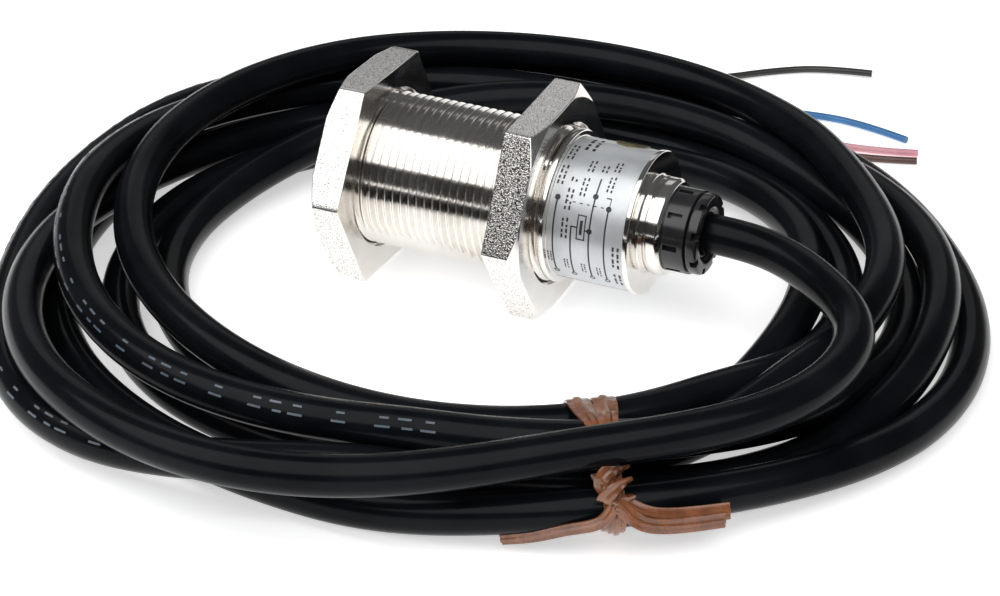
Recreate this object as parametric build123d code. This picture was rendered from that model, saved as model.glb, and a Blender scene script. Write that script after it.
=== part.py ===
from build123d import *
import os
from math import cos, pi, radians, sin, tan

# Cylindrical M18 photoelectric proximity sensor with two lock nuts and a 2 m moulded lead.
# Frame: +X runs along the sensor from the sensing face to the cable, +Z is up, and the origin lies on
# the surface that the sensor stands on, below the middle of its length. Millimetres.

os.makedirs("parts", exist_ok=True)

# ---- driving dimensions ----
thread_radius = 9.0            # M18 x 1 major radius
nut_across_flats = 24.0
nut_thickness = 4.0
nut_chamfer = 0.87             # axial depth of the 30 degree chamfer at each corner of a nut's outer side
nut_gap = 17.9                 # clear distance between the two nuts
nut_running_clearance = 0.05   # radial, between the nut and the barrel
nut_travel = 8.0
front_nut_turn = -2.5          # degrees about the sensor's axis, from resting flat
rear_nut_turn = 2.7
overall_length = 43.8          # sensing face to the end of the strain relief

shoulder_width = 1.3
label_seat_radius = 8.05
label_thickness = 0.1
lip_radius = 8.35
lip_width = 1.6
neck_radius = 5.6
neck_length = 2.6
relief_radius = 4.85
relief_cap_radius = 4.65
relief_cap_length = 1.4
cable_radius = 2.25
core_radius = 0.45

indicator_angle = 64.0         # degrees from +Y towards +Z, where the indicator looks out
indicator_radius = 2.0
surface_gap = 0.1              # between fixed inner pieces that don't touch

# ---- stations along the sensor, worked out from the lengths above ----
front_x = -overall_length / 2
rear_x = overall_length / 2
front_nut_x = front_x
rear_nut_x = front_nut_x + nut_thickness + nut_gap
thread_end_x = rear_nut_x + nut_thickness + 0.4
label_x = thread_end_x + shoulder_width - 0.4
neck_end_x = rear_x - 4.1
neck_x = neck_end_x - neck_length
lip_x = neck_x - lip_width
nut_corner_radius = nut_across_flats / 2 / cos(radians(30))
axis_height = nut_corner_radius * cos(radians(30 - max(abs(front_nut_turn), rear_nut_turn)))

# ---- barrel and optics ----
window_radius = 8.2
window_thickness = 1.8
seal_thickness = 0.5
main_bore_radius = 7.6
rear_bore_radius = 6.25
rear_bore_x = 8.5
optics_radius = 7.5
optics_length = 8.0
lens_radius = 2.9
lens_thickness = 1.2
lens_offset = 3.5
lens_dome_radius = 5.0
board_thickness = 0.8
board_width = 13.0
board_tongue_width = 9.0
board_end_x = 12.6
jacket_end_x = 13.0
inner_core_offset = (1.35, 0.95)

# ---- coil of cable: radius of its outer and inner outline every 30 degrees, clockwise from +X ----
coil_outer = [54.5, 55.0, 55.0, 60.5, 66.0, 64.0, 61.0, 58.5, 54.5, 50.0, 49.5, 50.5]
coil_inner = [30.5, 32.0, 34.5, 35.5, 37.5, 39.0, 38.0, 36.0, 33.0, 30.0, 29.0, 29.5]
coil_height = 14.6
coil_edge_round = 3.5

tie_angle = 57.0               # clockwise from +X
tie_inner = 33.0               # distances from the coil's middle to the two sides of the tie's loop
tie_outer = 56.0
tie_width = 5.2                # two passes of the ribbon side by side
tie_thickness = 0.6


def on_axis(shape):
    """Lift a shape made about the X axis to the height that the nuts rest at."""
    return Pos(0, 0, axis_height) * shape


def turned(*outline):
    """Revolve an (x, radius) outline about the X axis."""
    face = make_face(Polyline(*[(x, 0, r) for x, r in outline], close=True))
    return revolve(face, Axis.X, 360)


def rod(x0, x1, radius, y=0.0, z=0.0):
    """Round bar parallel to the X axis."""
    return Pos((x0 + x1) / 2, y, z) * Rot(0, 90, 0) * Cylinder(radius, x1 - x0)


def tube(x0, x1, outer, inner):
    return rod(x0, x1, outer) - rod(x0 - 1, x1 + 1, inner)


def block(x0, x1, y0, y1, z0, z1):
    return Pos((x0 + x1) / 2, (y0 + y1) / 2, (z0 + z1) / 2) * Box(x1 - x0, y1 - y0, z1 - z0)


def facing_indicator(shape):
    """Turn the circuit board and what is on it so that it faces the indicator."""
    return Rot(indicator_angle - 90, 0, 0) * shape


def save(shape, node):
    shape.label = node
    export_step(shape, f"parts/{node}.step")


# ---- metal body ----
def make_barrel():
    body = turned(
        (front_x, window_radius),
        (front_x, thread_radius - 0.5),
        (front_x + 0.5, thread_radius),
        (thread_end_x, thread_radius),
        (thread_end_x, thread_radius - 0.35),
        (thread_end_x + 0.15, thread_radius - 0.1),
        (label_x - 0.25, thread_radius - 0.1),
        (label_x, thread_radius - 0.4),
        (label_x, label_seat_radius),
        (lip_x, label_seat_radius),
        (lip_x, rear_bore_radius),
        (rear_bore_x, rear_bore_radius),
        (rear_bore_x, main_bore_radius),
        (front_x + window_thickness + seal_thickness, main_bore_radius),
        (front_x + window_thickness + seal_thickness, window_radius),
    )
    return on_axis(body - facing_indicator(indicator_hole()))


def indicator_hole():
    return Pos(indicator_x, 0, thread_radius / 2 + 2) * Cylinder(indicator_radius, thread_radius)


def make_end_cap():
    groove = 0.35
    return on_axis(
        turned(
            (lip_x - 1.0, rear_bore_radius - 0.02),
            (lip_x, rear_bore_radius - 0.02),
            (lip_x, lip_radius - 0.3),
            (lip_x + 0.3, lip_radius),
            (neck_x - 0.5, lip_radius),
            (neck_x, lip_radius - 0.5),
            (neck_x, neck_radius + 0.3),
            (neck_x + 0.3, neck_radius),
            (neck_x + 0.7, neck_radius),
            (neck_x + 0.7, neck_radius - groove),
            (neck_x + 1.0, neck_radius - groove),
            (neck_x + 1.0, neck_radius),
            (neck_end_x - 0.4, neck_radius),
            (neck_end_x, neck_radius - 0.4),
            (neck_end_x, relief_radius),
            (neck_end_x - 1.8, relief_radius),
            (neck_end_x - 1.8, relief_radius - 0.9),
            (lip_x - 1.0, relief_radius - 0.9),
        )
    )


def make_label():
    film = tube(label_x + 0.05, lip_x - 0.05, label_seat_radius + label_thickness, label_seat_radius)
    return on_axis(film - facing_indicator(indicator_hole()))


# ---- nuts ----
def make_nut(x0, turn, chamfer_at_start):
    """Hexagon nut with one plain clamping face, and a 30 degree chamfer on the other side."""
    flats = [
        (x0, nut_corner_radius * cos(radians(turn + 60 * i)), nut_corner_radius * sin(radians(turn + 60 * i)))
        for i in range(6)
    ]
    prism = extrude(make_face(Polyline(*flats, close=True)), amount=nut_thickness, dir=(1, 0, 0))
    rim = nut_corner_radius - nut_chamfer / tan(radians(30))
    reach = nut_corner_radius + 0.2
    depth = (reach - rim) * tan(radians(30))
    x1 = x0 + nut_thickness
    if chamfer_at_start:
        cone = turned((x0, 0), (x0, rim), (x0 + depth, reach), (x1, reach), (x1, 0))
    else:
        cone = turned((x0, 0), (x0, reach), (x1 - depth, reach), (x1, rim), (x1, 0))
    bore = rod(x0 - 1, x1 + 1, thread_radius + nut_running_clearance)
    return on_axis((prism & cone) - bore)


# ---- optics and electronics ----
optics_x = front_x + window_thickness + seal_thickness + surface_gap
optics_end_x = optics_x + optics_length
board_x = optics_end_x + 2.2
indicator_x = 11.0

# Extent along and across the board, height above it, and the side of the board that each chip is on.
chips = {
    "signal_chip": (-3.5, 1.5, -2.5, 2.5, 1.4, 1),
    "output_transistor": (3.0, 7.5, -4.5, -1.0, 1.6, 1),
    "voltage_regulator": (-5.0, 2.0, -3.0, 3.0, 2.2, -1),
    "indicator_led": (indicator_x - 0.8, indicator_x + 0.8, -0.75, 0.75, 1.1, 1),
}


def make_window():
    return on_axis(rod(front_x, front_x + window_thickness, window_radius))


def make_window_seal():
    start = front_x + window_thickness
    return on_axis(tube(start, start + seal_thickness, window_radius, main_bore_radius - 0.5))


def make_optics_holder():
    holder = rod(optics_x, optics_end_x, optics_radius)
    for side in (-1, 1):
        holder -= rod(optics_x - 1, optics_x + lens_thickness, lens_radius, y=side * lens_offset)
        holder -= rod(optics_x, optics_end_x + 1, lens_radius - 0.5, y=side * lens_offset)
    return on_axis(facing_indicator(holder))


def make_lens(side):
    """Flat towards the window, domed inside."""
    disc = rod(optics_x, optics_x + lens_thickness, lens_radius, y=side * lens_offset)
    ball_x = optics_x + lens_thickness + 0.6 - lens_dome_radius
    dome = Pos(ball_x, side * lens_offset, 0) * Sphere(lens_dome_radius)
    dome &= rod(optics_x + lens_thickness, optics_end_x, lens_radius - 0.55, y=side * lens_offset)
    return on_axis(facing_indicator(disc + dome))


def make_emitter_led():
    led = rod(optics_end_x + 0.2, optics_end_x + 1.0, 1.9, y=-lens_offset)
    led += rod(optics_end_x - 2.0, optics_end_x + 0.2, 1.5, y=-lens_offset)
    led += Pos(optics_end_x - 2.0, -lens_offset, 0) * Sphere(1.5)
    return on_axis(facing_indicator(led))


def make_photodiode():
    chip = block(optics_end_x + 0.2, optics_end_x + 1.0, lens_offset - 1.8, lens_offset + 1.8, -1.8, 1.8)
    chip += rod(optics_end_x - 0.6, optics_end_x + 0.2, 1.4, y=lens_offset)
    return on_axis(facing_indicator(chip))


def make_optics_board():
    return on_axis(facing_indicator(rod(optics_end_x + 1.0, optics_end_x + 2.0, main_bore_radius - 0.3)))


def make_circuit_board():
    half = board_thickness / 2
    board = block(board_x, rear_bore_x - 0.3, -board_width / 2, board_width / 2, -half, half)
    tongue_half = board_tongue_width / 2
    board += block(rear_bore_x - 0.3, board_end_x, -tongue_half, tongue_half, -half, half)
    return on_axis(facing_indicator(board))


def make_on_board(x0, x1, y0, y1, height, side=1):
    """Component body soldered to the board, on its upper side or, with side -1, its lower side."""
    face = side * board_thickness / 2
    top = side * (board_thickness / 2 + height)
    return on_axis(facing_indicator(block(x0, x1, y0, y1, min(face, top), max(face, top))))


def make_capacitors():
    bodies = [make_on_board(2.6 + 1.6 * i, 3.6 + 1.6 * i, 2.2, 4.0, 0.9) for i in range(3)]
    bodies += [make_on_board(-6.5 + 2.2 * i, -4.9 + 2.2 * i, 3.2, 4.2, 0.7) for i in range(4)]
    return Compound(children=bodies)


def make_indicator_lens():
    outer = (label_seat_radius + label_thickness + 0.15)
    head_depth = 1.6
    stem_low = board_thickness / 2 + 1.3
    head = Pos(indicator_x, 0, outer - head_depth / 2) * Cylinder(indicator_radius - 0.03, head_depth)
    stem_height = outer - head_depth - stem_low
    stem = Pos(indicator_x, 0, stem_low + stem_height / 2) * Cylinder(1.1, stem_height)
    return on_axis(facing_indicator(head + stem))


def make_inner_core(y_side, z_side):
    y, z = inner_core_offset
    core = rod(rear_bore_x + 0.3, jacket_end_x, core_radius, y=y_side * y, z=z_side * z)
    return on_axis(facing_indicator(core))


# ---- strain relief ----
def make_strain_relief():
    start = neck_end_x - 1.8
    end = rear_x - relief_cap_length
    body = tube(start, end, relief_radius, cable_radius)
    slot_count = 8
    slot_floor = relief_radius - 0.7
    for i in range(slot_count):
        slot = block(neck_end_x + 0.25, neck_end_x + 1.95, -0.35, 0.35, slot_floor, relief_radius + 1)
        body -= Rot(360 * i / slot_count, 0, 0) * slot
    return on_axis(body)


def make_strain_relief_cap():
    start = rear_x - relief_cap_length
    cap = turned(
        (start, cable_radius),
        (start, relief_cap_radius),
        (rear_x - 0.4, relief_cap_radius),
        (rear_x, relief_cap_radius - 0.4),
        (rear_x, cable_radius),
    )
    notch_count = 8
    for i in range(notch_count):
        notch = block(rear_x - 0.7, rear_x + 1, -0.45, 0.45, relief_cap_radius - 1.3, relief_cap_radius + 1)
        cap -= Rot(360 * (i + 0.5) / notch_count, 0, 0) * notch
    return on_axis(cap)


def make_cable_seal():
    return on_axis(tube(lip_x, neck_end_x - 1.8, relief_radius - 0.9, cable_radius))


# ---- cable, its coil and its cores ----
def outline_point(radius, degrees_clockwise):
    angle = radians(degrees_clockwise)
    return (radius * cos(angle), -radius * sin(angle), 0)


def closed_outline(radii):
    step = 360 / len(radii)
    points = [outline_point(r, i * step) for i, r in enumerate(radii)]
    return make_face(Spline(*points, periodic=True))


def corner_radii(points):
    """Largest tangent arc at each corner: 0.45 of the shorter run over the tangent of half the turn."""
    vectors = [Vector(*p) for p in points]
    radii = []
    for before, corner, after in zip(vectors, vectors[1:], vectors[2:]):
        run_in = corner - before
        run_out = after - corner
        turn = radians(run_in.get_angle(run_out))
        radii.append(0.45 * min(run_in.length, run_out.length) / tan(turn / 2))
    return radii


def make_cord(node, points, radius):
    """Round cord along straight runs joined by tangent arcs; prints its radii and its volume check."""
    radii = corner_radii(points)
    path = FilletPolyline(*points, radius=radii)
    cord = sweep(Plane(origin=path @ 0, z_dir=path % 0) * Circle(radius), path=path)
    expected = pi * radius**2 * path.length
    print(node, "length", round(path.length, 1), "radii", [round(r, 1) for r in radii])
    print(node, "volume ratio", round(cord.volume / expected, 4))
    return cord


def tie_cut(height, z_centre):
    """Block across the coil at the tie, as wide as the tie."""
    reach = 40.0
    middle = (tie_outer + tie_inner) / 2
    angle = radians(tie_angle)
    place = Pos(middle * cos(angle), -middle * sin(angle), z_centre) * Rot(0, 0, -tie_angle)
    return place * Box(reach, tie_width, height)


def make_coil():
    ring = extrude(closed_outline(coil_outer), coil_height) - extrude(closed_outline(coil_inner), coil_height)
    top_edges = ring.edges().group_by(Axis.Z)[-1]
    ring = fillet(top_edges, coil_edge_round)
    return ring - tie_cut(2 * tie_thickness, 0)


coil_entry_x = coil_inner[0] + 0.6
tail_points = [(-27.5, 45.0, cable_radius), (-17.7, 50.4, cable_radius), (-8.0, 52.0, cable_radius)]

core_routes = {
    "core_black": [
        (-8.0, 52.8, 3.05), (-4.4, 54.8, 2.2), (0.0, 60.4, 0.8),
        (5.6, 66.2, 0.5), (11.4, 69.6, 0.6), (17.9, 70.5, 0.7),
    ],
    "core_blue": [
        (-8.0, 52.8, 1.45), (-1.4, 53.6, 1.3), (5.4, 53.6, 0.7),
        (13.4, 55.8, 0.55), (21.0, 56.2, 0.6), (28.0, 54.2, 0.5),
    ],
    "core_pink": [
        (-8.0, 51.2, 3.05), (-1.0, 52.0, 2.6), (6.5, 51.6, 1.7),
        (14.6, 49.4, 0.8), (22.8, 48.6, 0.6), (30.5, 51.3, 0.5),
    ],
    "core_brown": [
        (-8.0, 51.2, 1.45), (-0.6, 51.3, 1.1), (7.4, 49.7, 0.6),
        (15.8, 47.4, 0.5), (23.6, 46.4, 0.55), (31.0, 49.2, 0.5),
    ],
}


def make_tie_band():
    """Ribbon wound round the coil's section, with its inner side on the coil."""
    length = tie_outer - tie_inner
    middle = (tie_outer + tie_inner) / 2
    angle = radians(tie_angle)
    place = Pos(middle * cos(angle), -middle * sin(angle), 0) * Rot(0, 0, -tie_angle)
    top = coil_height + tie_thickness
    outer = Pos(0, 0, top / 2) * Box(length + 2 * tie_thickness, tie_width, top)
    inner_height = coil_height - tie_thickness
    inner = Pos(0, 0, tie_thickness + inner_height / 2) * Box(length, tie_width + 1, inner_height)
    return place * (outer - inner)


def make_tie_knot():
    angle = radians(tie_angle)
    centre_r = tie_outer + tie_thickness + 2.5
    place = Pos(centre_r * cos(angle), -centre_r * sin(angle), 5.0) * Rot(0, 0, -tie_angle)
    return fillet((place * Box(5.0, 5.0, 7.0)).edges(), 1.5)


def make_tie_tail(direction):
    """Free end of the ribbon, lying out from the knot along the coil's rim."""
    angle = radians(tie_angle)
    centre_r = tie_outer + tie_thickness + 3.0
    place = Pos(centre_r * cos(angle), -centre_r * sin(angle), 2.8) * Rot(0, 0, -tie_angle)
    run = 12.0
    return place * Pos(0, direction * (2.5 + run / 2), 0) * Box(tie_thickness, run, 2.6)


save(make_barrel(), "barrel")
save(make_end_cap(), "end_cap")
save(make_label(), "label")
save(make_nut(front_nut_x, front_nut_turn, True), "front_nut")
save(make_nut(rear_nut_x, rear_nut_turn, False), "rear_nut")
save(make_window(), "front_window")
save(make_window_seal(), "window_seal")
save(make_optics_holder(), "optics_holder")
save(make_lens(-1), "emitter_lens")
save(make_lens(1), "receiver_lens")
save(make_emitter_led(), "emitter_led")
save(make_photodiode(), "receiver_photodiode")
save(make_optics_board(), "optics_board")
save(make_circuit_board(), "circuit_board")
for node, (x0, x1, y0, y1, height, side) in chips.items():
    save(make_on_board(x0, x1, y0, y1, height, side), node)
save(make_capacitors(), "board_capacitors")
save(make_indicator_lens(), "indicator_lens")
save(make_strain_relief(), "strain_relief")
save(make_strain_relief_cap(), "strain_relief_cap")
save(make_cable_seal(), "cable_seal")
inner_cores = {"black": (-1, -1), "blue": (-1, 1), "pink": (1, -1), "brown": (1, 1)}
for colour, (y_side, z_side) in inner_cores.items():
    save(make_inner_core(y_side, z_side), f"inner_core_{colour}")
save(rod(jacket_end_x, coil_entry_x, cable_radius, z=axis_height), "cable_lead")
save(make_coil(), "cable_coil")
save(make_cord("cable_tail", tail_points, cable_radius), "cable_tail")
for node, route in core_routes.items():
    save(make_cord(node, route, core_radius), node)
save(make_tie_band(), "tie_band")
save(make_tie_knot(), "tie_knot")
save(make_tie_tail(-1), "tie_tail_left")
save(make_tie_tail(1), "tie_tail_right")
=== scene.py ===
from math import atan2, cos, degrees, hypot, pi, radians, sin, tan

import bmesh
import bpy
import numpy as np
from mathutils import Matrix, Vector


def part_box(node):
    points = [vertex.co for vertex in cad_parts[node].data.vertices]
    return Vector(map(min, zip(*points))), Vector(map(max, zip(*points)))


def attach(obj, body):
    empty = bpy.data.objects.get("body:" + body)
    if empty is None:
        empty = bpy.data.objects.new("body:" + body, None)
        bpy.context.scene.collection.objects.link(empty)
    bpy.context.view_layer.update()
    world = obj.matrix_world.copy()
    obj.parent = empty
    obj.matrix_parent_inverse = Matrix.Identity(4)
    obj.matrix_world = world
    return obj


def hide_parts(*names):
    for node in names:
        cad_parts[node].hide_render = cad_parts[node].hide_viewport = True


# Looks of an M18 photoelectric proximity sensor with its coiled lead. The frame's axes: +X runs along the
# sensor from the sensing face to the cable and +Z is up. Lengths are in millimetres until a mesh is made; the
# camera, the lights and the floor are in metres.

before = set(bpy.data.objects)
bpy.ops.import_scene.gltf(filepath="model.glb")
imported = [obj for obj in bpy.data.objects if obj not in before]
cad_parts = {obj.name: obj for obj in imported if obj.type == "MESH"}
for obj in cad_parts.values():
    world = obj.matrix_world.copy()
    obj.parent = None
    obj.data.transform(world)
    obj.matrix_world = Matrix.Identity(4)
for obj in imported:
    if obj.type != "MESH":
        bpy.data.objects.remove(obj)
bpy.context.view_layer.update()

MM = 0.001

# ---- driving dimensions ----
barrel_low, barrel_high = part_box("barrel")
FRONT_X = barrel_low.x / MM
AXIS_Z = (barrel_low.z + barrel_high.z) / 2 / MM
THREAD_RADIUS = 9.0
THREAD_PITCH = 1.0
THREAD_END_X = 4.4
SHOULDER_RADIUS = 8.9
LABEL_X0 = 5.3
LABEL_X1 = 13.6           # end of the barrel
FILM_END_X = 14.6         # the film runs on over the end cap
SEAT_RADIUS = 8.05
FILM_RADIUS = 8.15
LIP_RADIUS = 8.35
NECK_X = 15.2
NECK_RADIUS = 5.6
NECK_END_X = 17.8
POCKET_DEPTH = 1.8        # how far the strain relief goes into the neck
RELIEF_RADIUS = 4.85
RELIEF_CAP_X = 20.5
RELIEF_CAP_RADIUS = 4.65
SENSOR_END_X = 21.9
NUT_APOTHEM = 12.0
NUT_THICKNESS = 4.0
NUT_BORE = 9.05
NUT_CHAMFER_DEPTH = 0.87
FRONT_NUT_X = FRONT_X
FRONT_NUT_TURN = -2.5     # degrees that a nut is turned about the sensor's axis
REAR_NUT_X = 0.0
REAR_NUT_TURN = 2.7
INDICATOR_X = 11.0
INDICATOR_ANGLE = 64.0    # degrees from +Y towards +Z
INDICATOR_RADIUS = 2.0
INDICATOR_HOLE = (5.5, 10.0)

CABLE_DIAMETER = 4.5
CABLE_RADIUS = CABLE_DIAMETER / 2
CORE_DIAMETER = 0.9
TIE_ANGLE = 57.0          # where the twist tie is, degrees clockwise from +X
ROUND = 144               # segments of a turned part

CAMERA_PLACE = (0.12362, -0.27703, 0.17384)
CAMERA_DOWN = 29.97       # degrees below level
CAMERA_TURN = 24.73       # degrees from +Y towards -X
CAMERA_LENS = 108.0
FILM_BACK = 36.0


# ---- camera ----
def add_camera():
    data = bpy.data.cameras.new("camera")
    data.lens = CAMERA_LENS
    data.sensor_width = FILM_BACK
    data.clip_start = 0.01
    data.clip_end = 20.0
    camera = bpy.data.objects.new("camera", data)
    camera.location = CAMERA_PLACE
    camera.rotation_euler = (radians(90 - CAMERA_DOWN), 0, radians(CAMERA_TURN))
    bpy.context.collection.objects.link(camera)
    bpy.context.scene.camera = camera


add_camera()


# ---- materials ----
class Material:
    """A Principled material, and short ways to drive its sockets by noise in the piece's own coordinates."""

    def __init__(self, name, colour, **sockets):
        self.data = bpy.data.materials.new(name)
        self.data.use_nodes = True
        self.data.diffuse_color = (*colour, 1)
        self.nodes = self.data.node_tree.nodes
        self.links = self.data.node_tree.links
        self.shader = self.nodes["Principled BSDF"]
        self.shader.inputs["Base Color"].default_value = (*colour, 1)
        for socket, value in sockets.items():
            self.shader.inputs[socket.replace("_", " ")].default_value = value
        self.place = self.nodes.new("ShaderNodeTexCoord").outputs["Object"]
        self.last_bump = None

    def stretched(self, scale, shift=(0, 0, 0)):
        """Object coordinates multiplied by a number for each axis, and then shifted."""
        mapping = self.nodes.new("ShaderNodeMapping")
        mapping.inputs["Scale"].default_value = scale
        mapping.inputs["Location"].default_value = shift
        self.links.new(self.place, mapping.inputs["Vector"])
        return mapping.outputs["Vector"]

    def noise(self, scale, detail=3.0, roughness=0.55, vector=None):
        node = self.nodes.new("ShaderNodeTexNoise")
        node.inputs["Scale"].default_value = scale
        node.inputs["Detail"].default_value = detail
        node.inputs["Roughness"].default_value = roughness
        self.links.new(vector or self.place, node.inputs["Vector"])
        return node.outputs["Fac"]

    def grains(self, scale):
        """Distance to the nearest of many scattered points."""
        node = self.nodes.new("ShaderNodeTexVoronoi")
        node.inputs["Scale"].default_value = scale
        self.links.new(self.place, node.inputs["Vector"])
        return node.outputs["Distance"]

    def colour(self, value, low, high, start=0.35, end=0.65):
        """Colour that goes from low to high as value goes from start to end."""
        node = self.nodes.new("ShaderNodeValToRGB")
        first, second = node.color_ramp.elements
        first.position = start
        second.position = end
        first.color = (*low, 1)
        second.color = (*high, 1)
        self.links.new(value, node.inputs["Fac"])
        self.links.new(node.outputs["Color"], self.shader.inputs["Base Color"])
        return self

    def roughness(self, value, low, high, start=0.3, end=0.7):
        """Roughness that goes from low to high as value goes from start to end."""
        node = self.nodes.new("ShaderNodeMapRange")
        node.inputs["From Min"].default_value = start
        node.inputs["From Max"].default_value = end
        node.inputs["To Min"].default_value = low
        node.inputs["To Max"].default_value = high
        self.links.new(value, node.inputs["Value"])
        self.links.new(node.outputs["Result"], self.shader.inputs["Roughness"])
        return self

    def bump(self, value, height_mm, strength=1.0):
        """Relief of that height, on top of any relief given before."""
        node = self.nodes.new("ShaderNodeBump")
        node.inputs["Strength"].default_value = strength
        node.inputs["Distance"].default_value = height_mm * MM
        self.links.new(value, node.inputs["Height"])
        if self.last_bump:
            self.links.new(self.last_bump, node.inputs["Normal"])
        self.last_bump = node.outputs["Normal"]
        self.links.new(self.last_bump, self.shader.inputs["Normal"])
        return self


NICKEL = (0.80, 0.775, 0.74)
NICKEL_BRIGHT = (0.84, 0.82, 0.79)
NICKEL_DULL = (0.74, 0.71, 0.67)


def nickel(name, low, high):
    """Bright nickel plate with faint cloudiness, and roughness from low to high."""
    metal = Material(name, NICKEL, Metallic=1.0)
    metal.colour(metal.noise(160), NICKEL_DULL, NICKEL_BRIGHT)
    metal.roughness(metal.noise(420), low, high)
    return metal


def make_nickel_turned():
    """Plate over turned metal: fine marks that run round the sensor's axis."""
    metal = nickel("nickel_turned", 0.09, 0.15)
    marks = metal.noise(900, detail=2.0, vector=metal.stretched((1.0, 0.02, 0.02)))
    return metal.bump(marks, 0.006, 0.3)


def make_nickel_faced():
    """End face of a nut: concentric marks from facing in a lathe."""
    metal = nickel("nickel_faced", 0.1, 0.2)
    from_axis = metal.nodes.new("ShaderNodeVectorMath")
    from_axis.operation = "LENGTH"
    metal.links.new(metal.stretched((0, 1, 1), (0, 0, -AXIS_Z * MM)), from_axis.inputs[0])
    rings = metal.nodes.new("ShaderNodeTexNoise")
    rings.noise_dimensions = "1D"
    rings.inputs["Scale"].default_value = 5200
    rings.inputs["Detail"].default_value = 2.0
    metal.links.new(from_axis.outputs["Value"], rings.inputs["W"])
    metal.bump(rings.outputs["Fac"], 0.012, 0.5)
    return metal.bump(metal.noise(1500), 0.01, 0.3)


def make_nickel_grain_and_pit_shade(name, pit_shade, start, end, height_mm):
    """Plate over the sandy skin of drawn hexagon bar: bright grains, with painted shade that darkens the pits
    between them.
    """
    metal = Material(name, NICKEL, Metallic=1.0)
    sand_and_pit_shade = metal.noise(8500, detail=1.0, roughness=0.4)
    # painted shade: the same noise as the relief turns the colour dark where the relief is low, in the pits
    metal.colour(sand_and_pit_shade, pit_shade, NICKEL_BRIGHT, start, end)
    metal.roughness(metal.noise(420), 0.1, 0.18)
    return metal.bump(sand_and_pit_shade, height_mm)


def make_label_film():
    """Silvered film under a clear coat."""
    film = Material("label_film", (0.57, 0.59, 0.605), Metallic=0.55, Coat_Weight=0.35, Coat_Roughness=0.2)
    film.colour(film.noise(260), (0.54, 0.565, 0.58), (0.605, 0.625, 0.64))
    film.roughness(film.noise(700), 0.34, 0.46)
    return film.bump(film.noise(1400, vector=film.stretched((1.0, 0.3, 0.3))), 0.01, 0.25)


def plastic(name, low, high, rough=(0.3, 0.42), bump_mm=0.01, scale=900, **sockets):
    """Moulded plastic, rubber or ink, slightly uneven in colour."""
    material = Material(name, low, **sockets)
    material.colour(material.noise(220), low, high)
    material.roughness(material.noise(500), *rough)
    return material.bump(material.noise(scale), bump_mm, 0.4)


def clear(name, tint, rough=0.06, transmission=0.92):
    """See-through plastic, slightly uneven in tint."""
    material = Material(name, tint, Transmission_Weight=transmission, IOR=1.5)
    material.colour(material.noise(300), tint, tuple(min(1.0, c * 1.08) for c in tint))
    return material.roughness(material.noise(600), rough, rough + 0.05)


def make_laminate():
    """Green board with the weave of its glass cloth."""
    board = Material("circuit_laminate", (0.02, 0.14, 0.05), Coat_Weight=0.5)
    board.colour(board.grains(900), (0.015, 0.11, 0.04), (0.03, 0.19, 0.07), 0.1, 0.5)
    board.roughness(board.noise(900), 0.3, 0.5)
    return board.bump(board.noise(1800), 0.01, 0.3)


def make_tie_plastic():
    """Thin translucent brown ribbon."""
    tie = Material("tie_plastic", (0.2, 0.085, 0.045), Subsurface_Weight=0.15, Coat_Weight=0.45)
    tie.shader.inputs["Subsurface Radius"].default_value = (0.6, 0.3, 0.15)
    tie.shader.inputs["Subsurface Scale"].default_value = 0.4 * MM
    tie.colour(tie.noise(420), (0.12, 0.04, 0.016), (0.27, 0.1, 0.042), 0.3, 0.7)
    tie.roughness(tie.noise(700), 0.2, 0.34)
    return tie.bump(tie.noise(1600), 0.02, 0.4)


def make_jacket():
    """Black PVC, satin, with a faint drawn grain along it."""
    jacket = Material("cable_jacket", (0.006, 0.0065, 0.008))
    jacket.shader.inputs["Specular IOR Level"].default_value = 0.09
    jacket.colour(jacket.noise(90), (0.0025, 0.003, 0.004), (0.006, 0.007, 0.009))
    jacket.roughness(jacket.noise(260), 0.18, 0.25)
    jacket.bump(jacket.noise(1500), 0.02, 0.3)
    return jacket.bump(jacket.noise(120), 0.06, 0.25)


def core_pvc(name, low, high):
    return plastic(name, low, high, (0.3, 0.4), 0.01, 1500)


nickel_turned = make_nickel_turned()
nickel_faced = make_nickel_faced()
# the first colour of each is the painted shade in the pits, darker on the coarse grain
grain_and_pit_shade_coarse = make_nickel_grain_and_pit_shade("nickel_grain_and_pit_shade_coarse", (0.015, 0.014, 0.013), 0.45, 0.58, 0.05)
grain_and_pit_shade_fine = make_nickel_grain_and_pit_shade("nickel_grain_and_pit_shade_fine", (0.12, 0.115, 0.11), 0.33, 0.47, 0.014)
label_film = make_label_film()
label_ink = plastic("label_ink", (0.012, 0.012, 0.014), (0.025, 0.025, 0.028), (0.4, 0.55))
black_plastic = plastic("black_plastic", (0.012, 0.012, 0.013), (0.022, 0.022, 0.024), (0.16, 0.26))
seal_rubber = plastic("seal_rubber", (0.015, 0.015, 0.015), (0.03, 0.03, 0.03), (0.55, 0.7))
window_plastic = clear("window_plastic", (0.35, 0.02, 0.025), 0.04, 0.8)
lens_plastic = clear("lens_plastic", (0.9, 0.92, 0.93))
led_clear = clear("led_clear", (0.93, 0.86, 0.55))
photodiode_plastic = plastic("photodiode_plastic", (0.02, 0.02, 0.03), (0.04, 0.04, 0.05), (0.15, 0.25))
circuit_laminate = make_laminate()
chip_plastic = plastic("chip_plastic", (0.02, 0.02, 0.021), (0.035, 0.035, 0.036), (0.45, 0.6), 0.02)
capacitor_ceramic = plastic("capacitor_ceramic", (0.42, 0.27, 0.14), (0.52, 0.34, 0.19), (0.35, 0.5))
tie_plastic = make_tie_plastic()
cable_jacket = make_jacket()
cable_print = plastic("cable_print", (0.07, 0.095, 0.125), (0.12, 0.145, 0.18), (0.4, 0.55))
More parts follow.
